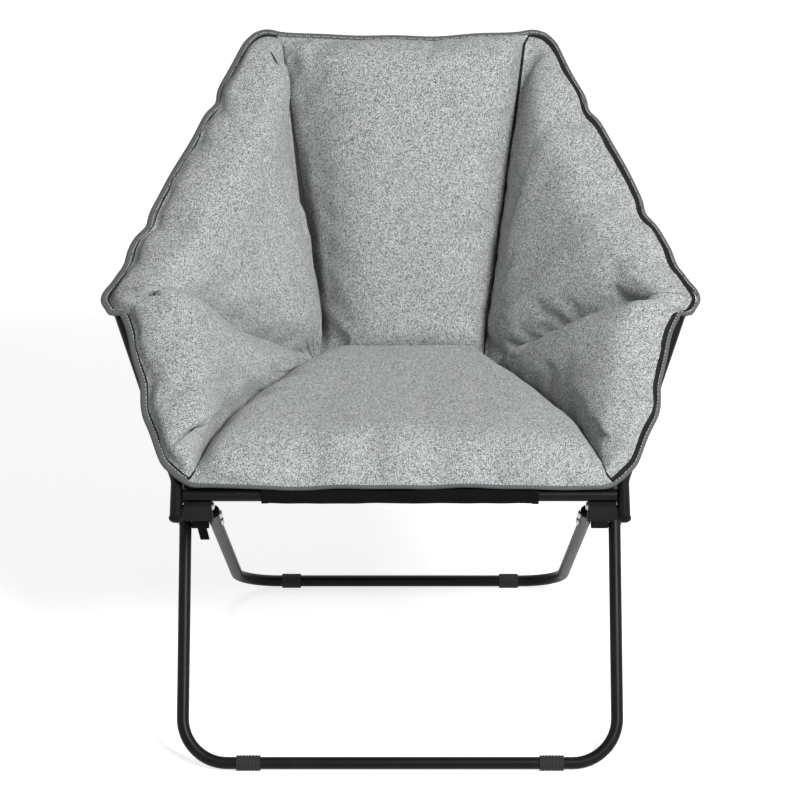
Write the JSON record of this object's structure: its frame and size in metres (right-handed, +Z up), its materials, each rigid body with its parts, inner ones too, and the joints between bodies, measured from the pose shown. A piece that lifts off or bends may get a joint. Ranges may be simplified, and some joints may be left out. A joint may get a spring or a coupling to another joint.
{
  "type": "folding camping chair",
  "caption": "Folding bucket chair: a padded hexagonal fabric cover with seat, back and side wings on a tilted tube ring, standing on crossing U-shaped tube legs.",
  "frame": {"origin": "on the floor, in the middle of the chair's box", "axes": "+X to the right in the picture (the sitter's left), +Y to the back, +Z up; the sitter faces -Y"},
  "size_m": [0.765, 0.6169, 0.7981],
  "materials": {
    "heather_fabric": "grey heather woven cover, matt",
    "black_lining": "black woven sleeve, matt",
    "edge_binding_tape": "sewn grey edge tape",
    "black_paint": "black powder coat on steel tube, semi-gloss",
    "black_plastic": "black moulded plastic, fine texture",
    "foot_rubber": "black rubber-like foot sleeve",
    "zinc_steel": "bright zinc-plated rivet"
  },
  "bodies": {
    "front_frame": {"front_foot_left": "foot_rubber", "front_foot_right": "foot_rubber", "front_leg": "black_paint", "front_leg_cap_left": "black_plastic", "front_leg_cap_right": "black_plastic", "leg_pivot_bolt_left": "zinc_steel", "leg_pivot_bolt_right": "zinc_steel", "pivot_spacer_left": "black_plastic", "pivot_spacer_right": "black_plastic", "ring_bolt_left": "zinc_steel", "ring_bolt_right": "zinc_steel"},
    "rear_frame": {"link_bolt_left": "zinc_steel", "link_bolt_right": "zinc_steel", "rear_foot_left": "foot_rubber", "rear_foot_right": "foot_rubber", "rear_leg": "black_paint", "rear_leg_cap_left": "black_plastic", "rear_leg_cap_right": "black_plastic"},
    "seat_frame": {"arm_elbow_left": "black_plastic", "arm_elbow_right": "black_plastic", "back_hoop": "black_paint", "back_pad": "heather_fabric", "corner_bracket_left": "black_plastic", "corner_bracket_right": "black_plastic", "edge_binding": "edge_binding_tape", "front_rail": "black_paint", "lower_wing_left": "heather_fabric", "lower_wing_right": "heather_fabric", "rail_sleeve": "black_lining", "ring_lug_left": "black_plastic", "ring_lug_right": "black_plastic", "seat_pad": "heather_fabric", "side_tube_cap_left": "black_plastic", "side_tube_cap_right": "black_plastic", "side_tube_left": "black_paint", "side_tube_right": "black_paint", "upper_wing_left": "heather_fabric", "upper_wing_right": "heather_fabric"},
    "links": {"link_pin_left": "zinc_steel", "link_pin_right": "zinc_steel", "side_link_left": "black_plastic", "side_link_right": "black_plastic"}
  },
  "joints": [
    {"name": "fold", "type": "hinge", "parent": "front_frame", "child": "rear_frame", "pos_m": [0, -0.11295, 0.2638], "axis": [-1, 0, 0], "range_deg": [0, 75]},
    {"name": "seat_tilt", "type": "hinge", "parent": "front_frame", "child": "seat_frame", "pos_m": [0, 0.19507, 0.63071], "axis": [1, 0, 0], "range_deg": [0, 6.05]},
    {"name": "link_swing", "type": "hinge", "parent": "rear_frame", "child": "links", "pos_m": [0, -0.14376, 0.28932], "axis": [1, 0, 0], "range_deg": [0, 113.25]}
  ],
  "couplings": [
    {"joint": "seat_tilt", "follows": "fold", "ratio": 0.080523},
    {"joint": "link_swing", "follows": "fold", "ratio": 1.5099}
  ]
}
